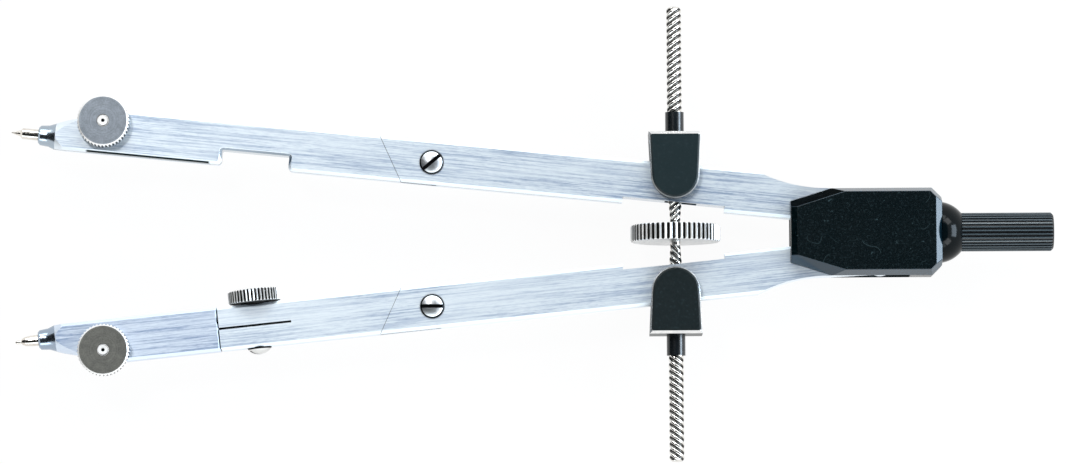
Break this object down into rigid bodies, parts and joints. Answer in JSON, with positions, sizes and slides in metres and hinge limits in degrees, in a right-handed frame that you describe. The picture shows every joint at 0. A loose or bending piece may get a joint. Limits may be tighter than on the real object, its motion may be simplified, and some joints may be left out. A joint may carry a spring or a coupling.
{
  "type": "spring bow compass",
  "caption": "Spring bow compass: two jointed steel legs with toothed roots in a black head, opened and closed by a centre wheel on a spindle with opposite threads.",
  "frame": {"origin": "middle of the part's plan, on the table that it lies on", "axes": "+X from the points to the handle, +Y from leg B to leg A, +Z out of the front face"},
  "size_m": [0.17, 0.0746, 0.0147],
  "materials": {
    "leg_steel": "satin nickel plate, brushed along the leg",
    "bright_steel": "bright turned steel",
    "spring_steel": "tempered strip",
    "knob_steel": "turned faces with a straight knurl",
    "spindle_steel": "rolled thread",
    "head_black": "fine matt moulding",
    "gloss_black": "polished moulding",
    "grip_black": "satin moulding"
  },
  "bodies": {
    "head": {"head_front_cover": "head_black", "head_rear_cover": "head_black", "leg_pivot_screw_a": "bright_steel", "leg_pivot_screw_b": "bright_steel", "bow_spring": "spring_steel", "spring_post": "bright_steel", "handle_stem": "bright_steel", "handle_collar": "gloss_black", "handle_grip": "grip_black"},
    "upper_leg_a": {"leg_a_upper": "leg_steel", "knee_screw_a": "bright_steel"},
    "lower_leg_a": {"leg_a_lower": "leg_steel"},
    "needle_a": {"needle_a": "bright_steel"},
    "clamp_a": {"clamp_knob_a": "knob_steel", "clamp_stud_a": "bright_steel"},
    "upper_leg_b": {"leg_b_upper": "leg_steel", "knee_screw_b": "bright_steel"},
    "lower_leg_b": {"leg_b_lower": "leg_steel", "socket_screw": "bright_steel"},
    "socket_knob": {"socket_knob": "knob_steel"},
    "attachment": {"attachment": "leg_steel"},
    "needle_b": {"needle_b": "bright_steel"},
    "clamp_b": {"clamp_knob_b": "knob_steel", "clamp_stud_b": "bright_steel"},
    "nut_a": {"nut_a_block": "head_black", "nut_a_bush": "gloss_black", "nut_a_trunnions": "bright_steel"},
    "nut_b": {"nut_b_block": "head_black", "nut_b_bush": "gloss_black", "nut_b_trunnions": "bright_steel"},
    "spindle_core": {"spindle_joining_stud": "bright_steel"},
    "spindle": {"spindle_rod_a": "spindle_steel", "spindle_rod_b": "spindle_steel", "adjusting_wheel": "knob_steel"}
  },
  "joints": [
    {"name": "leg_a_open", "type": "hinge", "parent": "head", "child": "upper_leg_a", "pos_m": [0.05679, 0.0044, 0.00735], "axis": [0, 0, -1], "range_deg": [-5.7, 30], "deforming": ["bow_spring"]},
    {"name": "leg_b_open", "type": "hinge", "parent": "head", "child": "upper_leg_b", "pos_m": [0.05679, -0.0044, 0.00735], "axis": [0, 0, 1], "range_deg": [-5.8, 30.1]},
    {"name": "nut_a_swivel", "type": "hinge", "parent": "upper_leg_a", "child": "nut_a", "pos_m": [0.02336, 0.00777, 0.00735], "axis": [0, 0, 1], "range_deg": [-5.8, 30.1]},
    {"name": "nut_b_swivel", "type": "hinge", "parent": "upper_leg_b", "child": "nut_b", "pos_m": [0.02336, -0.00777, 0.00735], "axis": [0, 0, -1], "range_deg": [-5.8, 30.1]},
    {"name": "spindle_travel", "type": "slide", "parent": "nut_a", "child": "spindle_core", "axis": [0, -1, 0], "range_m": [-0.00335, 0.01679]},
    {"name": "wheel_turn", "type": "hinge", "parent": "spindle_core", "child": "spindle", "pos_m": [0.02336, 0, 0.00735], "axis": [0, -1, 0], "range_deg": [-264, 1384]},
    {"name": "knee_a_bend", "type": "hinge", "parent": "upper_leg_a", "child": "lower_leg_a", "pos_m": [-0.01634, 0.01178, 0.00735], "axis": [0, 0, 1], "range_deg": [0, 25]},
    {"name": "knee_b_bend", "type": "hinge", "parent": "upper_leg_b", "child": "lower_leg_b", "pos_m": [-0.01634, -0.01178, 0.00735], "axis": [0, 0, -1], "range_deg": [0, 25]},
    {"name": "needle_a_slide", "type": "slide", "parent": "lower_leg_a", "child": "needle_a", "axis": [-0.995, 0.1004, 0], "range_m": [0, 0.008]},
    {"name": "needle_b_slide", "type": "slide", "parent": "attachment", "child": "needle_b", "axis": [-0.995, -0.1004, 0], "range_m": [0, 0.008]},
    {"name": "clamp_a_turn", "type": "hinge", "parent": "lower_leg_a", "child": "clamp_a", "pos_m": [-0.06981, 0.01872, 0.00735], "axis": [0, 0, 1], "range_deg": [0, 360]},
    {"name": "clamp_b_turn", "type": "hinge", "parent": "attachment", "child": "clamp_b", "pos_m": [-0.06981, -0.01872, 0.00735], "axis": [0, 0, 1], "range_deg": [0, 360]},
    {"name": "socket_knob_turn", "type": "hinge", "parent": "lower_leg_b", "child": "socket_knob", "pos_m": [-0.04525, -0.01112, 0.00735], "axis": [-0.1004, 0.995, 0], "range_deg": [0, 360]},
    {"name": "attachment_slide", "type": "slide", "parent": "lower_leg_b", "child": "attachment", "axis": [-0.995, -0.1004, 0], "range_m": [0, 0.012]}
  ],
  "couplings": [
    {"joint": "leg_b_open", "follows": "leg_a_open", "ratio": 1},
    {"joint": "nut_a_swivel", "follows": "leg_a_open", "ratio": 1},
    {"joint": "nut_b_swivel", "follows": "leg_a_open", "ratio": 1},
    {"joint": "spindle_travel", "follows": "leg_a_open", "m_per_rad": 0.031685},
    {"joint": "wheel_turn", "follows": "leg_a_open", "ratio": 46.084}
  ]
}
